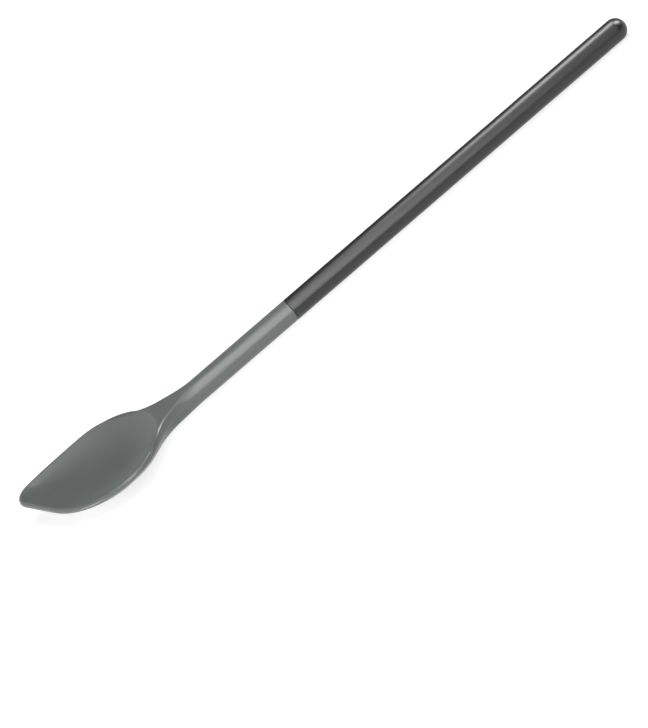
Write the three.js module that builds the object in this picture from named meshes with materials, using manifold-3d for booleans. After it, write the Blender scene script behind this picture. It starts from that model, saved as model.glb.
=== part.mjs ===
// A cooking spoon with one scraping corner: a grey silicone head moulded over a nylon core,
// whose tang is held in a round charcoal handle.
// Millimetres, +Z up out of the bowl. Each piece is made with the handle's axis on X and the
// seam between head and handle at x = 0; the handle runs to +X and the bowl to -X.

import * as THREE from 'three';
import { mergeVertices } from 'three/addons/utils/BufferGeometryUtils.js';
import Module from 'manifold-3d';

const wasm = await Module();
wasm.setup();

// Handle
const HANDLE_RADIUS = 5;
const HANDLE_LENGTH = 182;
const HANDLE_WALL = 1.25;
const SEAM_GAP = 0.3;

// Plan of the head, seen from above: straight neck, flare, then the bowl with its corner.
// LEAVE and ARRIVE are how strongly an edge holds its direction where it starts and ends.
const NECK_LENGTH = 50;
const FLARE_LENGTH = 48.4;
const FLARE_LEAVE = 29.9;
const FLARE_ARRIVE = 24.7;
const BOWL_HALF_WIDTH = 23.4;
const SIDE_EDGE_LEAVE = 11;
const SIDE_EDGE_ARRIVE = 7.6;
const SIDE_EDGE_TURN = 8;
const CORNER_AHEAD = 29.6;
const CORNER_DRAW_IN = 1.4;
const CORNER_RADIUS = 7.3;
const FRONT_EDGE_ANGLE = 68.5;
const FRONT_EDGE_LENGTH = 17.2;
const ROUND_EDGE_LEAVE = 14;
const ROUND_EDGE_ARRIVE = 12.1;

// Hollow of the bowl: the wall leaves the rim towards a shoulder and ends on a level floor
const RIM_RADIUS = 1.25;
const LIP_OVERLAP = 0.12;
const CAVITY_REACH_BACK = 27.5;
const CAVITY_DEPTH = 9.7;
const CAVITY_SHOULDER_INSET = 7.65;
const CAVITY_SHOULDER_RISE = 3.8;
const CAVITY_LEVEL = 7.5;

// Underside of the head, shaped the same way in the bowl and drawn in at the throat behind it
const BOWL_SHOULDER_INSET = 7.2;
const BOWL_SHOULDER_RISE = 4.3;
const BOWL_LEVEL = 8.5;
const THROAT_DRAW_IN = 0.25;
const THROAT_SHOULDER_DROP = 4.5;
const KEEL_DELAY = 4;
const REST_FLAT_DEPTH = 0.2;

// Core inside the head, and its tang in the handle
const SKIN = 0.85;
const FIT_GAP = 0.25;
const BLADE_THICKNESS = 0.9;
const BLADE_INSET = 4.2;
const STEM_PAST_THROAT = 7;
const LOCK_HOLE_RADIUS = 2.5;
const LOCK_HOLE_COUNT = 5;
const LOCK_RING_RADIUS = 9.5;
const TANG_LENGTH = 55;
const TANG_POINT = 1.5;
const RIB_COUNT = 3;
const RIB_HEIGHT = 0.5;
const RIB_WIDTH = 3;
const RIB_PITCH = 14;

// Facets, and how far a cutter reaches past what it cuts
const ROUND_SEGMENTS = 40;
const DRILL_SEGMENTS = 20;
const DOME_STEPS = 6;
const FLARE_STEPS = 14;
const SIDE_EDGE_STEPS = 5;
const CORNER_STEPS = 7;
const FRONT_EDGE_STEPS = 3;
const ROUND_EDGE_STEPS = 7;
const CAVITY_BACK_STEPS = 16;
const RIM_STEPS = 5;
const WALL_STEPS = 8;
const MERGE_TOLERANCE = 1e-4;
const CUT_MARGIN = 10;

// Sizes that follow from those
const { degToRad, lerp, smoothstep } = THREE.MathUtils;
const neckRadius = HANDLE_RADIUS;
const deckHeight = neckRadius;
const stemRadius = neckRadius - SKIN - FIT_GAP;
const tangRadius = HANDLE_RADIUS - HANDLE_WALL - FIT_GAP - RIB_HEIGHT;
const bowlReach = NECK_LENGTH + FLARE_LENGTH;
const throatReach = bowlReach - CAVITY_REACH_BACK;
const cavityFloor = deckHeight - CAVITY_DEPTH;
const keelHeight = cavityFloor - BLADE_THICKNESS - 2 * (SKIN + FIT_GAP);
const bowlCentre = new THREE.Vector2(-bowlReach, 0);

// Joins and cuts

function solidFrom(geometry) {
  const bare = geometry.clone();
  bare.deleteAttribute('normal');
  bare.deleteAttribute('uv');
  const merged = mergeVertices(bare, MERGE_TOLERANCE);
  const corners = merged.index.array;
  const kept = [];
  for (let i = 0; i < corners.length; i += 3) {
    const [a, b, c] = corners.slice(i, i + 3);
    if (a !== b && b !== c && c !== a) {
      kept.push(a, b, c);
    }
  }
  return new wasm.Manifold(new wasm.Mesh({
    numProp: 3,
    vertProperties: new Float32Array(merged.attributes.position.array),
    triVerts: new Uint32Array(kept),
  }));
}

function geometryFrom(solid) {
  const { vertProperties, triVerts } = solid.getMesh();
  const geometry = new THREE.BufferGeometry();
  geometry.setAttribute('position', new THREE.BufferAttribute(vertProperties, 3));
  geometry.setIndex(new THREE.BufferAttribute(triVerts, 1));
  geometry.computeVertexNormals();
  return geometry;
}

// A surface over rows of points, each row running from the top down; rows that start and end
// at the seam are closed there by a flat end around endCentre
function loft(rows, endCentre) {
  const width = rows[0].length;
  const positions = rows.flat().flatMap((point) => point.toArray());
  const triangles = [];
  for (let row = 0; row < rows.length - 1; row += 1) {
    for (let column = 0; column < width - 1; column += 1) {
      const a = row * width + column;
      const b = a + 1;
      const c = b + width;
      const d = a + width;
      triangles.push(a, b, c, a, c, d);
    }
  }
  if (endCentre) {
    const centre = positions.length / 3;
    const last = (rows.length - 1) * width;
    positions.push(...endCentre.toArray());
    for (let column = 0; column < width - 1; column += 1) {
      triangles.push(centre, column + 1, column);
      triangles.push(centre, last + column, last + column + 1);
    }
  }
  const geometry = new THREE.BufferGeometry();
  geometry.setAttribute('position', new THREE.Float32BufferAttribute(positions, 3));
  geometry.setIndex(triangles);
  return geometry;
}

// A turned solid on the X axis from a profile of (distance along X, radius)
function turned(profile) {
  const points = profile.map(([along, radius]) => new THREE.Vector2(radius, along));
  return new THREE.LatheGeometry(points, ROUND_SEGMENTS).rotateZ(-Math.PI / 2);
}

// Plan outline of the head, from the seam along the straight side, round the corner, across
// the front edge and back along the round side

function neckSide(side, x) {
  return new THREE.Vector2(x, side * neckRadius);
}

function widest(side) {
  return new THREE.Vector2(bowlCentre.x, side * BOWL_HALF_WIDTH);
}

function heading(degrees) {
  return new THREE.Vector2(Math.cos(degToRad(degrees)), Math.sin(degToRad(degrees)));
}

function curveThrough(start, startHandle, end, endHandle) {
  return new THREE.CubicBezierCurve(start, start.clone().add(startHandle), end.clone().add(endHandle), end);
}

function flare(side) {
  return curveThrough(
    neckSide(side, -NECK_LENGTH),
    new THREE.Vector2(-FLARE_LEAVE, 0),
    widest(side),
    new THREE.Vector2(FLARE_ARRIVE, 0),
  );
}

function reversed(curve) {
  return new THREE.CubicBezierCurve(curve.v3, curve.v2, curve.v1, curve.v0);
}

const cornerCentre = new THREE.Vector2(
  bowlCentre.x - CORNER_AHEAD,
  BOWL_HALF_WIDTH - CORNER_DRAW_IN - CORNER_RADIUS,
);
const cornerStart = Math.PI / 2 + degToRad(SIDE_EDGE_TURN);
const cornerEnd = Math.PI * 1.5 - degToRad(FRONT_EDGE_ANGLE);
const corner = new THREE.EllipseCurve(
  cornerCentre.x, cornerCentre.y, CORNER_RADIUS, CORNER_RADIUS, cornerStart, cornerEnd,
);
const alongSideEdge = heading(SIDE_EDGE_TURN);
const alongFrontEdge = heading(-FRONT_EDGE_ANGLE);
const frontStart = corner.getPoint(1);
const frontEnd = frontStart.clone().addScaledVector(alongFrontEdge, FRONT_EDGE_LENGTH);
const sideEdge = curveThrough(
  widest(1),
  new THREE.Vector2(-SIDE_EDGE_LEAVE, 0),
  corner.getPoint(0),
  alongSideEdge.clone().multiplyScalar(SIDE_EDGE_ARRIVE),
);
const frontEdge = new THREE.LineCurve(frontStart, frontEnd);
const roundEdge = curveThrough(
  frontEnd,
  alongFrontEdge.clone().multiplyScalar(ROUND_EDGE_LEAVE),
  widest(-1),
  new THREE.Vector2(-ROUND_EDGE_ARRIVE, 0),
);

// A rib is a line from a hub on the axis out to the plan outline. Slant is how much longer a
// step along the rib is than the same step square to the outline.
function rib(edge, tangent, hub) {
  const direction = edge.clone().sub(hub);
  const half = direction.length();
  direction.divideScalar(half);
  const outward = new THREE.Vector2(tangent.y, -tangent.x);
  return { hub, direction, half, slant: 1 / direction.dot(outward) };
}

function ribsAlong(curve, steps, hubOf) {
  return Array.from({ length: steps }, (_, step) => {
    const edge = curve.getPoint(step / steps);
    return rib(edge, curve.getTangent(step / steps), hubOf(edge));
  });
}

function neckRib(side, x) {
  return rib(neckSide(side, x), new THREE.Vector2(-side, 0), new THREE.Vector2(x, 0));
}

const acrossAxis = (edge) => new THREE.Vector2(edge.x, 0);
const fromBowlCentre = () => bowlCentre;
const seamEnd = -SEAM_GAP;
const straightFlareRibs = ribsAlong(flare(1), FLARE_STEPS, acrossAxis);
const frontRibs = [
  ...ribsAlong(sideEdge, SIDE_EDGE_STEPS, fromBowlCentre),
  ...ribsAlong(corner, CORNER_STEPS, fromBowlCentre),
  ...ribsAlong(frontEdge, FRONT_EDGE_STEPS, fromBowlCentre),
  ...ribsAlong(roundEdge, ROUND_EDGE_STEPS, fromBowlCentre),
];
const roundFlareRibs = ribsAlong(reversed(flare(-1)), FLARE_STEPS, acrossAxis);

function pointOnRib({ hub, direction }, distance, height) {
  return new THREE.Vector3(hub.x + direction.x * distance, hub.y + direction.y * distance, height);
}

// Cross-sections

// The underside of the head leaves its edge towards a shoulder and ends level at the keel. The
// shoulder, and how far the keel stays level, change from the round neck, through the throat
// behind the bowl, to the bowl. A cubic curve is round with this share of its radius.
const ROUND_SHARE = 0.5523;
const NECK_SECTION = {
  shoulderOut: neckRadius,
  shoulderHeight: -ROUND_SHARE * neckRadius,
  level: ROUND_SHARE * neckRadius,
};
const THROAT_SECTION = {
  shoulderOut: neckRadius - THROAT_DRAW_IN,
  shoulderHeight: deckHeight - THROAT_SHOULDER_DROP,
  level: neckRadius - THROAT_DRAW_IN,
};
const BOWL_SECTION = {
  shoulderOut: BOWL_HALF_WIDTH - BOWL_SHOULDER_INSET,
  shoulderHeight: keelHeight + BOWL_SHOULDER_RISE,
  level: BOWL_LEVEL,
};

function sectionAt(x) {
  const towardsThroat = smoothstep(-x, NECK_LENGTH, throatReach);
  const towardsBowl = smoothstep(-x, throatReach, bowlReach);
  const blend = (name) => lerp(
    lerp(NECK_SECTION[name], THROAT_SECTION[name], towardsThroat),
    BOWL_SECTION[name],
    towardsBowl,
  );
  return {
    edgeRadius: lerp(neckRadius, RIM_RADIUS, towardsThroat),
    shoulder: new THREE.Vector2(blend('shoulderOut'), blend('shoulderHeight')),
    level: blend('level'),
    keel: lerp(-neckRadius, keelHeight, smoothstep(-x, NECK_LENGTH + KEEL_DELAY, bowlReach)),
  };
}

function levelCurve(start, shoulder, level, height) {
  return new THREE.CubicBezierCurve(
    start, shoulder, new THREE.Vector2(level, height), new THREE.Vector2(0, height),
  );
}

// Half of the hull's section: flat top, rounded edge, then the underside down to the keel
function hullRow(ribLine) {
  const { half, slant, hub } = ribLine;
  const { edgeRadius, shoulder, level, keel } = sectionAt(hub.x);
  const edgePoint = (angle) => new THREE.Vector2(
    half - slant * edgeRadius * (1 - Math.cos(angle)),
    deckHeight - edgeRadius + edgeRadius * Math.sin(angle),
  );
  const shoulderOut = edgeRadius - (half - shoulder.x) / slant;
  const shoulderUp = shoulder.y - deckHeight + edgeRadius;
  const leaving = Math.atan2(shoulderUp, shoulderOut)
    + Math.acos(edgeRadius / Math.hypot(shoulderOut, shoulderUp));
  const points = [new THREE.Vector2(0, deckHeight)];
  for (let step = 0; step <= RIM_STEPS; step += 1) {
    points.push(edgePoint(lerp(Math.PI / 2, leaving, step / RIM_STEPS)));
  }
  const underside = levelCurve(edgePoint(leaving), shoulder, level, keel);
  points.push(...underside.getPoints(WALL_STEPS).slice(1));
  return points.map(({ x, y }) => pointOnRib(ribLine, x, y));
}

// Half of the cavity's section, as a cutter: its top lies above the deck, and a lip as round as
// the rim leads down towards a shoulder and on to the floor
const cavityHalfWidth = BOWL_HALF_WIDTH - RIM_RADIUS;
const cavityShoulder = new THREE.Vector2(
  cavityHalfWidth - CAVITY_SHOULDER_INSET,
  cavityFloor + CAVITY_SHOULDER_RISE,
);

function cavityRow(ribLine) {
  const { half, slant } = ribLine;
  const above = deckHeight + CUT_MARGIN;
  const lipEdge = half + LIP_OVERLAP;
  const lipPoint = (angle) => new THREE.Vector2(
    lipEdge - slant * RIM_RADIUS * Math.sin(angle),
    deckHeight - RIM_RADIUS + RIM_RADIUS * Math.cos(angle),
  );
  const shoulderIn = (lipEdge - cavityShoulder.x) / slant;
  const shoulderUp = cavityShoulder.y - deckHeight + RIM_RADIUS;
  const leaving = Math.asin(RIM_RADIUS / Math.hypot(shoulderIn, shoulderUp))
    - Math.atan2(shoulderUp, shoulderIn);
  const points = [new THREE.Vector2(0, above), new THREE.Vector2(lipEdge, above)];
  for (let step = 0; step <= RIM_STEPS; step += 1) {
    points.push(lipPoint(lerp(0, leaving, step / RIM_STEPS)));
  }
  const wall = levelCurve(lipPoint(leaving), cavityShoulder, CAVITY_LEVEL, cavityFloor);
  points.push(...wall.getPoints(WALL_STEPS).slice(1));
  return points.map(({ x, y }) => pointOnRib(ribLine, x, y));
}

// The hull is the head without its hollow; the cavity is the hollow of the bowl

const hullRibs = [
  neckRib(1, seamEnd),
  ...straightFlareRibs,
  ...frontRibs,
  ...roundFlareRibs,
  neckRib(-1, -NECK_LENGTH),
  neckRib(-1, seamEnd),
];
const hull = loft(hullRibs.map(hullRow), new THREE.Vector3(seamEnd, 0, 0));

const cavityBack = new THREE.EllipseCurve(
  bowlCentre.x, bowlCentre.y, CAVITY_REACH_BACK, cavityHalfWidth, -Math.PI / 2, Math.PI / 2,
);
const cavityRibs = [
  ...frontRibs.map((line) => ({ ...line, half: line.half - line.slant * RIM_RADIUS })),
  ...ribsAlong(cavityBack, CAVITY_BACK_STEPS, fromBowlCentre),
];
const cavity = loft([...cavityRibs, cavityRibs[0]].map(cavityRow));

// The core inside the head: a blade that follows the bowl's wall, with holes through which the
// silicone locks, on a round stem. With a growth above 0 it is the room that the core needs.
function coreInHead(growth) {
  const depth = SKIN + FIT_GAP - growth;
  const outlineAt = (line) => {
    const towardsThroat = smoothstep(-line.hub.x, NECK_LENGTH, throatReach);
    const inset = lerp(neckRadius, BLADE_INSET, towardsThroat) - growth;
    const point = pointOnRib(line, line.half - line.slant * inset, 0);
    return new THREE.Vector2(point.x, point.y);
  };
  const root = new THREE.Vector2(-NECK_LENGTH + growth, 0);
  const bladeRibs = [...straightFlareRibs.slice(1), ...frontRibs, ...roundFlareRibs];
  const outline = new THREE.ExtrudeGeometry(
    new THREE.Shape([root, ...bladeRibs.map(outlineAt)]),
    { depth: deckHeight - keelHeight, bevelEnabled: false },
  ).translate(0, 0, keelHeight);
  const stemReach = throatReach + STEM_PAST_THROAT + growth;
  const stem = turned([
    [-stemReach, 0],
    [-stemReach, stemRadius + growth],
    [-SEAM_GAP + growth, stemRadius + growth],
    [-SEAM_GAP + growth, 0],
  ]);
  let core = solidFrom(outline)
    .intersect(solidFrom(hull.clone().translate(0, 0, depth)))
    .intersect(solidFrom(hull.clone().translate(0, 0, -depth)))
    .add(solidFrom(stem))
    .subtract(solidFrom(cavity.clone().translate(0, 0, -depth)));
  for (let hole = 0; hole < LOCK_HOLE_COUNT; hole += 1) {
    const angle = (hole / LOCK_HOLE_COUNT) * Math.PI * 2;
    const drill = new THREE.CylinderGeometry(
      LOCK_HOLE_RADIUS - growth, LOCK_HOLE_RADIUS - growth, 2 * CUT_MARGIN, DRILL_SEGMENTS,
    );
    drill.rotateX(Math.PI / 2);
    drill.translate(
      bowlCentre.x + LOCK_RING_RADIUS * Math.cos(angle),
      bowlCentre.y + LOCK_RING_RADIUS * Math.sin(angle),
      keelHeight,
    );
    core = core.subtract(solidFrom(drill));
  }
  return core;
}

// The tang and its ribs, and with a growth above 0 the bore that takes them
function tangProfile(growth) {
  const radius = tangRadius + growth;
  const profile = [[-CUT_MARGIN, 0], [-CUT_MARGIN, radius]];
  for (let index = 0; index < RIB_COUNT; index += 1) {
    const middle = TANG_LENGTH / 2 + (index - (RIB_COUNT - 1) / 2) * RIB_PITCH;
    const halfWidth = RIB_WIDTH / 2 + growth;
    profile.push(
      [middle - halfWidth - RIB_HEIGHT, radius],
      [middle - halfWidth, radius + RIB_HEIGHT],
      [middle + halfWidth, radius + RIB_HEIGHT],
      [middle + halfWidth + RIB_HEIGHT, radius],
    );
  }
  profile.push(
    [TANG_LENGTH - TANG_POINT + growth, radius],
    [TANG_LENGTH + growth, radius - TANG_POINT],
    [TANG_LENGTH + growth, 0],
  );
  return profile;
}

// How the spoon lies: on the bowl's underside and on the round end of the handle

const domeCentre = HANDLE_LENGTH - HANDLE_RADIUS;
const restSpan = domeCentre + bowlReach;
const restReach = Math.hypot(restSpan, keelHeight);
const restRise = HANDLE_RADIUS + REST_FLAT_DEPTH;
const restTilt = Math.asin(restRise / restReach) - Math.atan2(-keelHeight, restSpan);
const floorDrop = HANDLE_RADIUS - domeCentre * Math.sin(restTilt);

// Pieces

const handleProfile = [[0, HANDLE_RADIUS]];
for (let step = 0; step <= DOME_STEPS; step += 1) {
  const angle = lerp(Math.PI / 2, 0, step / DOME_STEPS);
  handleProfile.push([domeCentre + HANDLE_RADIUS * Math.cos(angle), HANDLE_RADIUS * Math.sin(angle)]);
}
const handleBlank = turned([[0, 0], ...handleProfile]);
const handleSolid = solidFrom(handleBlank).subtract(solidFrom(turned(tangProfile(FIT_GAP))));
const handle = new THREE.Mesh(
  geometryFrom(handleSolid),
  new THREE.MeshStandardMaterial({ color: 0x414243, roughness: 0.36, metalness: 0 }),
);
handle.name = 'handle';

const coreSolid = coreInHead(0).add(solidFrom(turned(tangProfile(0))));
const nylonCore = new THREE.Mesh(
  geometryFrom(coreSolid),
  new THREE.MeshStandardMaterial({ color: 0x2b2c2d, roughness: 0.6, metalness: 0 }),
);
nylonCore.name = 'nylon_core';

const floorSize = 2 * (HANDLE_LENGTH + bowlReach);
const floor = new THREE.BoxGeometry(floorSize, floorSize, CUT_MARGIN)
  .translate(0, 0, -floorDrop - CUT_MARGIN / 2)
  .rotateY(restTilt);
const headSolid = solidFrom(hull)
  .subtract(solidFrom(cavity))
  .subtract(coreInHead(FIT_GAP))
  .subtract(solidFrom(floor));
const siliconeHead = new THREE.Mesh(
  geometryFrom(headSolid),
  new THREE.MeshStandardMaterial({ color: 0x6d7271, roughness: 0.46, metalness: 0 }),
);
siliconeHead.name = 'silicone_head';

// Assembly, lying on its back with the origin under the middle of its length

const spoon = new THREE.Group();
spoon.add(siliconeHead, nylonCore, handle);
spoon.rotation.y = -restTilt;

const assembly = new THREE.Group();
assembly.add(spoon);
assembly.updateMatrixWorld(true);
const extent = new THREE.Box3().setFromObject(assembly, true);
spoon.position.x = -(extent.min.x + extent.max.x) / 2;
spoon.position.z = floorDrop;

export default assembly;
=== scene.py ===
# A cooking spoon with one scraping corner, lying on its back on a pale floor.
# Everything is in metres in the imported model's frame; sizes are written in millimetres, times MM.

from math import asin, atan2, cos, hypot, pi, radians, sin

import bmesh
import bpy
from mathutils import Matrix, Vector
from mathutils.geometry import interpolate_bezier


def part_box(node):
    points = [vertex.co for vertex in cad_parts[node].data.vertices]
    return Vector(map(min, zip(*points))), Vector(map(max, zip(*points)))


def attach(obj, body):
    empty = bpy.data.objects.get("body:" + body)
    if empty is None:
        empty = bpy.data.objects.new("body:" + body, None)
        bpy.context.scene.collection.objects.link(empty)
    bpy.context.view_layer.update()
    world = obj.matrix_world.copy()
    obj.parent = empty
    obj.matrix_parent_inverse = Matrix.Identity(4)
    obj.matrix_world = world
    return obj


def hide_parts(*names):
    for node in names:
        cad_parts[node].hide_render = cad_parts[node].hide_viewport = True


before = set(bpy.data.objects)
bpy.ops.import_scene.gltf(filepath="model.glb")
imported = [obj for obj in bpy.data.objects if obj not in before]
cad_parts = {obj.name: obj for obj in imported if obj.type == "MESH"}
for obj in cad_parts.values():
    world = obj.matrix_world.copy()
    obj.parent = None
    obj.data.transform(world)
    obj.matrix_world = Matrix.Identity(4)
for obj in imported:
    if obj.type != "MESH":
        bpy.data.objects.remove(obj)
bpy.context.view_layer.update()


# Camera
# A long lens looks down on the open bowl from its round side, rolled so that the handle climbs to
# the right. The spoon's own frame, which the pieces share, has the seam between head and handle
# at its origin, the handle along +X and the bowl open to +Z; spoon_place lays it on the floor.
MM = 0.001
handle_low, handle_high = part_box("handle")
HANDLE_RADIUS = handle_high.y
dome_reach = handle_high.x - handle_low.x - HANDLE_RADIUS
dome_centre = Vector((handle_high.x - HANDLE_RADIUS, 0, HANDLE_RADIUS))
seam_rise = handle_high.z - HANDLE_RADIUS - dome_centre.z
spoon_place = (
    Matrix.Translation(dome_centre)
    @ Matrix.Rotation(asin(seam_rise / dome_reach), 4, "Y")
    @ Matrix.Translation((-dome_reach, 0, 0))
)

VIEW_ELEVATION = radians(35)
VIEW_TURN = radians(6.5)
HANDLE_LEAN = radians(40.84)
AIM_ALONG = -4.17 * MM
AIM_ACROSS = -25.53 * MM
FRAME_HEIGHT = 296.4 * MM
LENS = 300
SENSOR = 36
FAR_CLIP = 100000 * MM

sight = Vector((
    sin(VIEW_TURN),
    cos(VIEW_TURN) * cos(VIEW_ELEVATION),
    -cos(VIEW_TURN) * sin(VIEW_ELEVATION),
))
across = Vector((0, sin(VIEW_ELEVATION), cos(VIEW_ELEVATION)))
along = sight.cross(across)
view_axes = Matrix((along, across, -sight)).transposed() @ Matrix.Rotation(-HANDLE_LEAN, 3, "Z")
view_point = AIM_ALONG * along + AIM_ACROSS * across - sight * (FRAME_HEIGHT * LENS / SENSOR)

camera_data = bpy.data.cameras.new("camera")
camera_data.lens = LENS
camera_data.sensor_width = SENSOR
camera_data.clip_end = FAR_CLIP
camera = bpy.data.objects.new("camera", camera_data)
camera.matrix_world = spoon_place @ Matrix.Translation(view_point) @ view_axes.to_4x4()
bpy.context.scene.collection.objects.link(camera)
bpy.context.scene.camera = camera


# Nylon core
# The stiffener that the silicone is moulded over: a blade in the bowl's wall, a stem in the neck
# and a ribbed tang in the handle. Injection moulded in black glass-filled nylon, and hidden but
# for the hairline at the seam, so the solid of the frame stays and only gets its material.

def linear(hex_colour):
    """An sRGB hex colour as the linear colour that a shader reads."""
    shares = [int(hex_colour[i:i + 2], 16) / 255 for i in (1, 3, 5)]
    return [s / 12.92 if s <= 0.04045 else ((s + 0.055) / 1.055) ** 2.4 for s in shares] + [1]


def add_node(tree, kind, inputs=None, **settings):
    """Adds a node with its settings; an input takes a value or a link from another node's socket."""
    node = tree.nodes.new(kind)
    for name, value in settings.items():
        setattr(node, name, value)
    sockets = {socket.identifier: socket for socket in node.inputs}
    for name, value in (inputs or {}).items():
        if isinstance(value, bpy.types.NodeSocket):
            tree.links.new(value, sockets[name])
        else:
            sockets[name].default_value = value
    return node


def new_material(name):
    """A material and its node tree, still empty."""
    material = bpy.data.materials.new(name)
    material.use_nodes = True
    tree = material.node_tree
    tree.nodes.clear()
    return material, tree


def pattern_place(tree):
    """The place in metres, in the object's own coordinates, that a material's patterns read."""
    return add_node(tree, "ShaderNodeTexCoord").outputs["Object"]


# Glass-filled nylon: matt and near black, with its short fibres as a fine, uneven grain
FIBRE_GRAIN = 0.6 * MM
NYLON_IOR = 1.53
core_material, tree = new_material("glass_filled_nylon")
place = pattern_place(tree)
fibres = add_node(tree, "ShaderNodeTexNoise", {"Vector": place, "Scale": 1 / FIBRE_GRAIN, "Detail": 4})
core_colour = add_node(
    tree, "ShaderNodeMix",
    {"Factor_Float": fibres.outputs["Fac"], "A_Color": linear("#1d1e1f"), "B_Color": linear("#2d2e2f")},
    data_type="RGBA",
)
core_grain = add_node(
    tree, "ShaderNodeBump",
    {"Height": fibres.outputs["Fac"], "Strength": 0.3, "Distance": 0.05 * MM},
)
core_surface = add_node(
    tree, "ShaderNodeBsdfPrincipled",
    {"Base Color": core_colour.outputs["Result"], "Roughness": 0.6, "IOR": NYLON_IOR,
     "Normal": core_grain.outputs["Normal"]},
)
add_node(tree, "ShaderNodeOutputMaterial", {"Surface": core_surface.outputs["BSDF"]})

nylon_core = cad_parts["nylon_core"]
nylon_core.data.materials.clear()
nylon_core.data.materials.append(core_material)


# Silicone head
# The grey skin of the spoon in one moulding: shallow bowl with a scraping corner, flat deck,
# drawn-in throat and round neck. Silicone, compression moulded over the core, with the same
# small round bead all along the rim.
SEAM_GAP = 0.12 * MM
SKIN = 0.85 * MM
NECK_RADIUS = HANDLE_RADIUS
DECK_HEIGHT = NECK_RADIUS
NECK_LENGTH = 50 * MM
BOWL_REACH = 98.4 * MM
BOWL_HALF_WIDTH = 23.4 * MM
FLARE_DELAY = 6 * MM
FLARE_LEAVE = 21.2 * MM
FLARE_ARRIVE = 21.5 * MM
SIDE_EDGE_LEAVE = 11 * MM
SIDE_EDGE_ARRIVE = 7.6 * MM
SIDE_EDGE_TURN = radians(8)
CORNER_RADIUS = 7.3 * MM
CORNER_AHEAD = 28.8 * MM
CORNER_DRAW_IN = 1.4 * MM
FRONT_EDGE_ANGLE = radians(68.5)
FRONT_EDGE_LENGTH = 17.2 * MM
ROUND_EDGE_LEAVE = 14 * MM
ROUND_EDGE_ARRIVE = 12.1 * MM

NECK_STEPS = 10
FLARE_DELAY_STEPS = 12
FLARE_STEPS = 72
SIDE_EDGE_STEPS = 32
CORNER_STEPS = 32
FRONT_EDGE_STEPS = 20
ROUND_EDGE_STEPS = 48
CAVITY_BACK_STEPS = 72
RIM_STEPS = 12
WALL_STEPS = 40

bowl_centre = Vector((-BOWL_REACH, 0))


def heading(angle):
    """A direction in plan, from the angle that it makes with the handle."""
    return Vector((cos(angle), sin(angle)))


def straight_edge(start, end, steps):
    """Points along a straight edge, without the last one."""
    return [start.lerp(end, step / steps) for step in range(steps)]


def bowed_edge(start, leaving, arriving, end, steps):
    """Points along a curved edge, without the last one; leaving and arriving pull on its two ends."""
    return interpolate_bezier(start, start + leaving, end + arriving, end, steps + 1)[:-1]


def round_corner(centre, radii, start, end, steps):
    """Points on an arc from angle start to angle end, without the last one."""
    angles = [start + (end - start) * step / steps for step in range(steps)]
    return [centre + Vector((radii[0] * cos(angle), radii[1] * sin(angle))) for angle in angles]


def neck_side(side, x):
    """A point on the neck's side, +1 being the side with the scraping corner."""
    return Vector((x, side * NECK_RADIUS))


def widest(side):
    """Where the bowl is widest."""
    return Vector((-BOWL_REACH, side * BOWL_HALF_WIDTH))


def half_outline(side):
    """The edge from the seam along the neck and the flare to the widest point, without that point."""
    seam = neck_side(side, -SEAM_GAP)
    neck_end = neck_side(side, -NECK_LENGTH)
    flare_start = neck_side(side, -NECK_LENGTH - FLARE_DELAY)
    return (
        straight_edge(seam, neck_end, NECK_STEPS)
        + straight_edge(neck_end, flare_start, FLARE_DELAY_STEPS)
        + bowed_edge(
            flare_start, Vector((-FLARE_LEAVE, 0)), Vector((FLARE_ARRIVE, 0)), widest(side), FLARE_STEPS,
        )
    )


corner_centre = Vector((
    -BOWL_REACH - CORNER_AHEAD,
    BOWL_HALF_WIDTH - CORNER_DRAW_IN - CORNER_RADIUS,
))
corner_start = pi / 2 + SIDE_EDGE_TURN
corner_end = 3 * pi / 2 - FRONT_EDGE_ANGLE
corner_first = corner_centre + CORNER_RADIUS * heading(corner_start)
front_first = corner_centre + CORNER_RADIUS * heading(corner_end)
front_last = front_first + FRONT_EDGE_LENGTH * heading(-FRONT_EDGE_ANGLE)
front_outline = (
    bowed_edge(
        widest(1),
        Vector((-SIDE_EDGE_LEAVE, 0)),
        SIDE_EDGE_ARRIVE * heading(SIDE_EDGE_TURN),
        corner_first,
        SIDE_EDGE_STEPS,
    )
    + round_corner(corner_centre, (CORNER_RADIUS, CORNER_RADIUS), corner_start, corner_end, CORNER_STEPS)
    + straight_edge(front_first, front_last, FRONT_EDGE_STEPS)
    + bowed_edge(
        front_last,
        ROUND_EDGE_LEAVE * heading(-FRONT_EDGE_ANGLE),
        Vector((-ROUND_EDGE_ARRIVE, 0)),
        widest(-1),
        ROUND_EDGE_STEPS,
    )
    + [widest(-1)]
)


def ribs_to(outline, hub_of):
    """Lines from a hub out to the points of an outline: hub, direction, length, and how much longer
    a step along the line is than the same step square to the outline."""
    ribs = []
    for index, edge in enumerate(outline):
        before = outline[max(index - 1, 0)]
        after = outline[min(index + 1, len(outline) - 1)]
        run = (after - before).normalized()
        hub = hub_of(edge)
        direction = (edge - hub).normalized()
        slant = 1 / direction.dot(Vector((run.y, -run.x)))
        ribs.append((hub, direction, (edge - hub).length, slant))
    return ribs


def across_axis(edge):
    """The point on the handle's axis beside an edge point."""
    return Vector((edge.x, 0))


def from_bowl_centre(edge):
    """The middle of the bowl, from which the front part fans out."""
    return bowl_centre


straight_side = ribs_to(half_outline(1) + [widest(1)], across_axis)[:-1]
front = ribs_to(front_outline, from_bowl_centre)
round_side = ribs_to([widest(-1)] + half_outline(-1)[::-1], across_axis)[1:]

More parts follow.
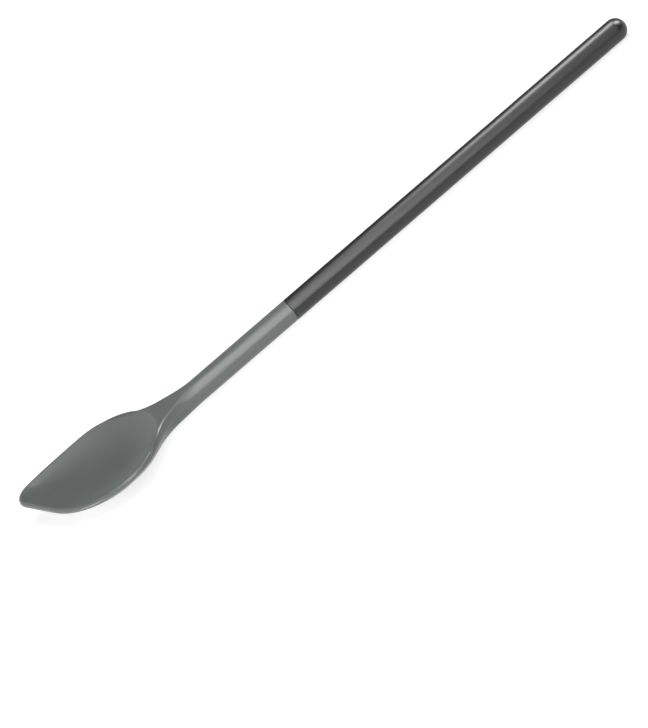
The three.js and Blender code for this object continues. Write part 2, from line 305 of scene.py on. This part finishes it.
# Under the deck, each rib's section turns round the edge, leaves it on a slope and ends level at
# the keel. Slope and pulls change from the round neck, through the drawn-in throat, to the bowl.
# ROUND_SHARE is the pull, as a share of the radius, that bends a curve to a quarter of a circle.
RIM_RADIUS = 1.45 * MM
CAVITY_REACH_BACK = 27.5 * MM
CAVITY_DEPTH = 5.5 * MM
CAVITY_SHOULDER_INSET = 4.5 * MM
CAVITY_SHOULDER_SHARE = 0.2
CAVITY_SHOULDER_RISE = 1.8 * MM
CAVITY_LEVEL = 7.5 * MM
BOWL_DEPTH = 12.8 * MM
BOWL_EDGE_DROP = 1.25 * MM
BOWL_TUCK = radians(45)
BOWL_PULL = 0.385
BOWL_LEVEL = 9 * MM
THROAT_EDGE_DROP = 2.4 * MM
THROAT_TUCK = radians(36)
THROAT_PULL = 0.25
THROAT_LEVEL = 6.4 * MM
THROAT_RUN = 15 * MM
BOWL_RUN = 32 * MM
KEEL_DELAY = 13 * MM
ROUND_SHARE = 0.5523

cavity_floor = DECK_HEIGHT - CAVITY_DEPTH
keel_height = DECK_HEIGHT - BOWL_DEPTH
cavity_half_width = BOWL_HALF_WIDTH - RIM_RADIUS
neck_section = Vector((NECK_RADIUS, 0, ROUND_SHARE, ROUND_SHARE * NECK_RADIUS))
throat_section = Vector((THROAT_EDGE_DROP, THROAT_TUCK, THROAT_PULL, THROAT_LEVEL))
bowl_section = Vector((BOWL_EDGE_DROP, BOWL_TUCK, BOWL_PULL, BOWL_LEVEL))


def eased(value, start, end):
    """How far value is on the way from start to end, leaving and arriving gently."""
    share = min(max((value - start) / (end - start), 0), 1)
    return share * share * (3 - 2 * share)


def wall_curve(start, shoulder, level, height):
    """Points from start, leaving towards the shoulder, to the middle at a level height."""
    middle = Vector((0, height))
    return interpolate_bezier(start, shoulder, middle + Vector((level, 0)), middle, WALL_STEPS + 1)[1:]


def on_rib(rib, points):
    """Section points, as distance from the hub and height, set on a rib."""
    hub, direction, _, _ = rib
    return [(hub + direction * p.x).to_3d() + Vector((0, 0, p.y)) for p in points]


def hull_row(rib):
    """The outside of the head on a rib: from the deck round its edge and down to the keel."""
    hub, _, length, slant = rib
    throat = NECK_LENGTH + THROAT_RUN
    to_throat = eased(-hub.x, NECK_LENGTH, throat)
    section = neck_section.lerp(throat_section, to_throat)
    drop, tuck, pull, level = section.lerp(bowl_section, eased(-hub.x, throat, throat + BOWL_RUN))
    keel_drop = eased(-hub.x, NECK_LENGTH + KEEL_DELAY, BOWL_REACH)
    keel = -NECK_RADIUS + (keel_height + NECK_RADIUS) * keel_drop
    radius = NECK_RADIUS + (RIM_RADIUS - NECK_RADIUS) * to_throat
    turns = [pi / 2 - (pi / 2 + tuck) * step / RIM_STEPS for step in range(RIM_STEPS + 1)]
    edge = [
        Vector((length - slant * radius * (1 - cos(turn)), DECK_HEIGHT - drop * (1 - sin(turn))))
        for turn in turns
    ]
    leaving = Vector((-slant * radius * sin(tuck), -drop * cos(tuck))).normalized()
    shoulder = edge[-1] + pull * length * leaving
    return on_rib(rib, edge + wall_curve(edge[-1], shoulder, level, keel))


def cavity_row(rib):
    """The hollow of the bowl on a rib: from the deck over the lip and down to the floor."""
    _, _, length, slant = rib
    inset = CAVITY_SHOULDER_INSET + CAVITY_SHOULDER_SHARE * length
    shoulder = Vector((length - inset, cavity_floor + CAVITY_SHOULDER_RISE))
    inwards = inset / slant
    upwards = shoulder.y - DECK_HEIGHT + RIM_RADIUS
    leaving = asin(RIM_RADIUS / hypot(inwards, upwards)) - atan2(upwards, inwards)
    turns = [leaving * step / RIM_STEPS for step in range(RIM_STEPS + 1)]
    lip = [
        Vector((
            length - slant * RIM_RADIUS * sin(turn),
            DECK_HEIGHT - RIM_RADIUS + RIM_RADIUS * cos(turn),
        ))
        for turn in turns
    ]
    return on_rib(rib, lip + wall_curve(lip[-1], shoulder, CAVITY_LEVEL, cavity_floor))


cavity_front = [
    (hub, direction, length - slant * RIM_RADIUS, slant)
    for hub, direction, length, slant in front
]
cavity_back = ribs_to(
    round_corner(bowl_centre, (CAVITY_REACH_BACK, cavity_half_width), -pi / 2, pi / 2, CAVITY_BACK_STEPS)
    + [bowl_centre + Vector((0, cavity_half_width))],
    from_bowl_centre,
)


def bridge_rows(bm, rows):
    """Draws each row of points as a line of edges and bridges neighbouring lines with faces."""
    lines = []
    for row in rows:
        verts = [bm.verts.new(point) for point in row]
        lines.append([bm.edges.new(ends) for ends in zip(verts, verts[1:])])
    for line, next_line in zip(lines, lines[1:]):
        bmesh.ops.bridge_loops(bm, edges=line + next_line)


def open_edges(bm, lies_in):
    """The open edges whose points all lie in a given plane."""
    return [e for e in bm.edges if e.is_boundary and all(lies_in(v.co) for v in e.verts)]


CREASE_ANGLE = radians(40)


def finished_piece(name, bm, material, node):
    """Lays a modelled piece on the floor as a smooth object that stands for a node of the frame."""
    bmesh.ops.recalc_face_normals(bm, faces=bm.faces)
    bmesh.ops.transform(bm, matrix=spoon_place, verts=bm.verts)
    mesh = bpy.data.meshes.new(name)
    bm.to_mesh(mesh)
    bm.free()
    mesh.shade_smooth()
    mesh.set_sharp_from_angle(angle=CREASE_ANGLE)
    mesh.materials.append(material)
    piece = bpy.data.objects.new(name, mesh)
    piece.modifiers.new("flat_faces_stay_flat", "WEIGHTED_NORMAL").keep_sharp = True
    bpy.context.scene.collection.objects.link(piece)
    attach(piece, "root")
    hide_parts(node)


WELD = 0.001 * MM
SEAM_ROUND = 0.15 * MM
SEAM_ROUND_STEPS = 3
CIRCLE_PROFILE = 0.5

bm = bmesh.new()
bridge_rows(bm, [hull_row(rib) for rib in straight_side + front + round_side])
bridge_rows(bm, [cavity_row(rib) for rib in cavity_front + cavity_back])
bmesh.ops.remove_doubles(bm, verts=bm.verts, dist=WELD)
deck_edges = open_edges(bm, lambda co: abs(co.z - DECK_HEIGHT) < WELD)
bmesh.ops.triangle_fill(bm, use_beauty=True, edges=deck_edges, normal=(0, 0, 1))
seam_edges = open_edges(bm, lambda co: abs(co.x + SEAM_GAP) < WELD)
seam_faces = bmesh.ops.edgeloop_fill(bm, edges=seam_edges)["faces"]
bmesh.ops.recalc_face_normals(bm, faces=bm.faces)
bmesh.ops.inset_region(bm, faces=seam_faces, thickness=SKIN)
sleeve_end = bmesh.ops.extrude_discrete_faces(bm, faces=seam_faces)["faces"]
sleeve_verts = [v for f in sleeve_end for v in f.verts]
bmesh.ops.translate(bm, vec=(SEAM_GAP - NECK_LENGTH, 0, 0), verts=sleeve_verts)
bmesh.ops.bevel(
    bm, geom=seam_edges, offset=SEAM_ROUND, offset_type="OFFSET", segments=SEAM_ROUND_STEPS,
    profile=CIRCLE_PROFILE, affect="EDGES", material=-1,
)

# What would reach below the floor is cut off flat, and the cut is closed
to_spoon = spoon_place.inverted()
bmesh.ops.bisect_plane(
    bm, geom=bm.verts[:] + bm.edges[:] + bm.faces[:], plane_co=to_spoon.translation,
    plane_no=to_spoon.to_3x3() @ Vector((0, 0, 1)), clear_inner=True,
)
bmesh.ops.edgeloop_fill(bm, edges=[e for e in bm.edges if e.is_boundary])

# Moulded silicone: a soft satin grey, even all over, with a barely uneven tone and sheen where
# the mould was blasted. The grain is drawn coarser than the real one so that it shows at all.
SILICONE_TONE = 14 * MM
SILICONE_GRAIN = 0.7 * MM
SILICONE_IOR = 1.41
silicone, tree = new_material("moulded_silicone")
place = pattern_place(tree)
tone = add_node(tree, "ShaderNodeTexNoise", {"Vector": place, "Scale": 1 / SILICONE_TONE, "Detail": 3})
grain = add_node(tree, "ShaderNodeTexNoise", {"Vector": place, "Scale": 1 / SILICONE_GRAIN, "Detail": 2})
silicone_colour = add_node(
    tree, "ShaderNodeMix",
    {"Factor_Float": tone.outputs["Fac"], "A_Color": linear("#585c5b"), "B_Color": linear("#5c605f")},
    data_type="RGBA",
)
silicone_sheen = add_node(
    tree, "ShaderNodeMapRange",
    {"Value": grain.outputs["Fac"], "To Min": 0.26, "To Max": 0.32},
)
silicone_grain = add_node(
    tree, "ShaderNodeBump",
    {"Height": grain.outputs["Fac"], "Strength": 0.15, "Distance": 0.03 * MM},
)
silicone_surface = add_node(
    tree, "ShaderNodeBsdfPrincipled",
    {"Base Color": silicone_colour.outputs["Result"], "Roughness": silicone_sheen.outputs["Result"],
     "IOR": SILICONE_IOR, "Normal": silicone_grain.outputs["Normal"]},
)
add_node(tree, "ShaderNodeOutputMaterial", {"Surface": silicone_surface.outputs["BSDF"]})

finished_piece("head_skin", bm, silicone, "silicone_head")


# Handle
# A plain round rod with a domed end and a blind bore for the core's tang. Nylon, injection
# moulded in charcoal grey and left with the mould's semi-gloss.
BORE_RADIUS = 3.25 * MM
BORE_DEPTH = 55.25 * MM
BORE_POINT = 1.5 * MM
GROOVE_DEPTH = 0.5 * MM
GROOVE_HALF_WIDTH = 1.75 * MM
GROOVE_MIDDLES = [41.5 * MM, 27.5 * MM, 13.5 * MM]
DOME_STEPS = 24
HANDLE_TURNS = 96

profile = [
    (BORE_DEPTH, 0),
    (BORE_DEPTH, BORE_RADIUS - BORE_POINT),
    (BORE_DEPTH - BORE_POINT, BORE_RADIUS),
]
for middle in GROOVE_MIDDLES:
    profile += [
        (middle + GROOVE_HALF_WIDTH + GROOVE_DEPTH, BORE_RADIUS),
        (middle + GROOVE_HALF_WIDTH, BORE_RADIUS + GROOVE_DEPTH),
        (middle - GROOVE_HALF_WIDTH, BORE_RADIUS + GROOVE_DEPTH),
        (middle - GROOVE_HALF_WIDTH - GROOVE_DEPTH, BORE_RADIUS),
    ]
profile += [(0, BORE_RADIUS), (0, HANDLE_RADIUS - SEAM_ROUND), (SEAM_ROUND, HANDLE_RADIUS)]
for step in range(DOME_STEPS + 1):
    turn = pi / 2 * step / DOME_STEPS
    profile.append((dome_reach + HANDLE_RADIUS * sin(turn), HANDLE_RADIUS * cos(turn)))

bm = bmesh.new()
verts = [bm.verts.new((x, 0, radius)) for x, radius in profile]
edges = [bm.edges.new(ends) for ends in zip(verts, verts[1:])]
bmesh.ops.spin(
    bm, geom=verts + edges, cent=(0, 0, 0), axis=(1, 0, 0), angle=2 * pi, steps=HANDLE_TURNS,
    use_merge=True,
)
bmesh.ops.remove_doubles(bm, verts=bm.verts, dist=WELD)

# Moulded nylon: dense charcoal with a semi-gloss skin, its gloss a little uneven along the rod
# where the melt flowed. The flow marks are drawn coarser than real ones so that they show.
FLOW_LENGTH = 30 * MM
FLOW_WIDTH = 2 * MM
NYLON_GRAIN = 0.6 * MM
handle_nylon, tree = new_material("moulded_nylon")
place = pattern_place(tree)
flow_place = add_node(
    tree, "ShaderNodeMapping",
    {"Vector": place, "Scale": (1 / FLOW_LENGTH, 1 / FLOW_WIDTH, 1 / FLOW_WIDTH)},
)
flow = add_node(
    tree, "ShaderNodeTexNoise",
    {"Vector": flow_place.outputs["Vector"], "Scale": 1, "Detail": 3},
)
grain = add_node(tree, "ShaderNodeTexNoise", {"Vector": place, "Scale": 1 / NYLON_GRAIN, "Detail": 2})
nylon_colour = add_node(
    tree, "ShaderNodeMix",
    {"Factor_Float": flow.outputs["Fac"], "A_Color": linear("#141414"), "B_Color": linear("#181818")},
    data_type="RGBA",
)
nylon_gloss = add_node(
    tree, "ShaderNodeMapRange",
    {"Value": flow.outputs["Fac"], "To Min": 0.34, "To Max": 0.4},
)
nylon_grain = add_node(
    tree, "ShaderNodeBump",
    {"Height": grain.outputs["Fac"], "Strength": 0.08, "Distance": 0.03 * MM},
)
nylon_surface = add_node(
    tree, "ShaderNodeBsdfPrincipled",
    {"Base Color": nylon_colour.outputs["Result"], "Roughness": nylon_gloss.outputs["Result"],
     "IOR": NYLON_IOR, "Normal": nylon_grain.outputs["Normal"]},
)
add_node(tree, "ShaderNodeOutputMaterial", {"Surface": nylon_surface.outputs["BSDF"]})

finished_piece("handle_rod", bm, handle_nylon, "handle")


# Floor and light
# A sheet of pale paper under the spoon. Two soft boxes light it from the front and above, a strip
# behind draws the bright line on the handle, and two low cards light the bowl from its front end.
# A far card is only mirrored, as the bright line along the rim.
FLOOR_SIZE = 4000 * MM
bm = bmesh.new()
bmesh.ops.create_grid(bm, x_segments=1, y_segments=1, size=FLOOR_SIZE / 2)
floor_mesh = bpy.data.meshes.new("floor")
bm.to_mesh(floor_mesh)
bm.free()
floor = bpy.data.objects.new("floor", floor_mesh)
bpy.context.scene.collection.objects.link(floor)

# Floor paper: pale grey and matt, so that it takes the spoon's shadow. It also glows, which makes it
# white to the camera and in what mirrors it or is clear, but lights no matt surface.
FLOOR_GLOW = 0.7
floor_paper, tree = new_material("floor_paper")
floor_rays = add_node(tree, "ShaderNodeLightPath")
seen = add_node(
    tree, "ShaderNodeMath",
    {"Value": floor_rays.outputs["Is Camera Ray"], "Value_001": floor_rays.outputs["Is Glossy Ray"]},
    operation="MAXIMUM",
)
seen_through = add_node(
    tree, "ShaderNodeMath",
    {"Value": seen.outputs["Value"], "Value_001": floor_rays.outputs["Is Transmission Ray"]},
    operation="MAXIMUM",
)
glow = add_node(
    tree, "ShaderNodeMath",
    {"Value": seen_through.outputs["Value"], "Value_001": FLOOR_GLOW},
    operation="MULTIPLY",
)
floor_glow = add_node(tree, "ShaderNodeEmission", {"Strength": glow.outputs["Value"]})
floor_matt = add_node(tree, "ShaderNodeBsdfDiffuse", {"Color": linear("#b0b0b0")})
floor_both = add_node(
    tree, "ShaderNodeAddShader",
    {"Shader": floor_matt.outputs["BSDF"], "Shader_001": floor_glow.outputs["Emission"]},
)
add_node(tree, "ShaderNodeOutputMaterial", {"Surface": floor_both.outputs["Shader"]})
floor_mesh.materials.append(floor_paper)


def softbox(name, stand, target, size, power, lights=True, mirrored=True):
    """An area light that stands at one place of the spoon's frame and faces another. Its places and
    its size, width and height, are in metres, and its power is in watts. It lights matt surfaces,
    is mirrored in glossy ones, or does both."""
    light = bpy.data.lights.new(name, "AREA")
    light.shape = "RECTANGLE"
    light.size, light.size_y = size
    light.energy = power
    box = bpy.data.objects.new(name, light)
    turned = (Vector(stand) - Vector(target)).to_track_quat("Z", "Y").to_matrix().to_4x4()
    box.matrix_world = spoon_place @ Matrix.Translation(stand) @ turned
    box.visible_diffuse = lights
    box.visible_glossy = mirrored
    bpy.context.scene.collection.objects.link(box)


softbox("front_softbox", (0.021, -0.4, 0.57), (-0.053, 0, 0), (0.12, 1.2), 5)
softbox("front_fill", (0.12, -0.4, 0.57), (0.05, 0, 0), (0.12, 1.2), 1.6)
softbox("back_strip", (0.255, 0.187, 0.464), (0.245, 0, 0), (0.14, 0.22), 2.1)
softbox("low_back_card", (-0.546, 0.531, 0.097), (-0.1, 0, 0), (0.6, 0.12), 8.2, mirrored=False)
softbox("rim_card", (1.1, 0.18, 0.92), (-0.07, 0, 0), (0.36, 0.95), 32, lights=False)
softbox("low_front_card", (-0.65, -0.43, 0.075), (-0.1, 0, 0), (0.35, 0.14), 5.6)

WORLD_FILL = 0.02
world = bpy.data.worlds.new("studio")
world.use_nodes = True
tree = world.node_tree
tree.nodes.clear()
world_fill = add_node(tree, "ShaderNodeBackground", {"Strength": WORLD_FILL})
add_node(tree, "ShaderNodeOutputWorld", {"Surface": world_fill.outputs["Background"]})
bpy.context.scene.world = world
bpy.context.scene.view_settings.view_transform = "Standard"
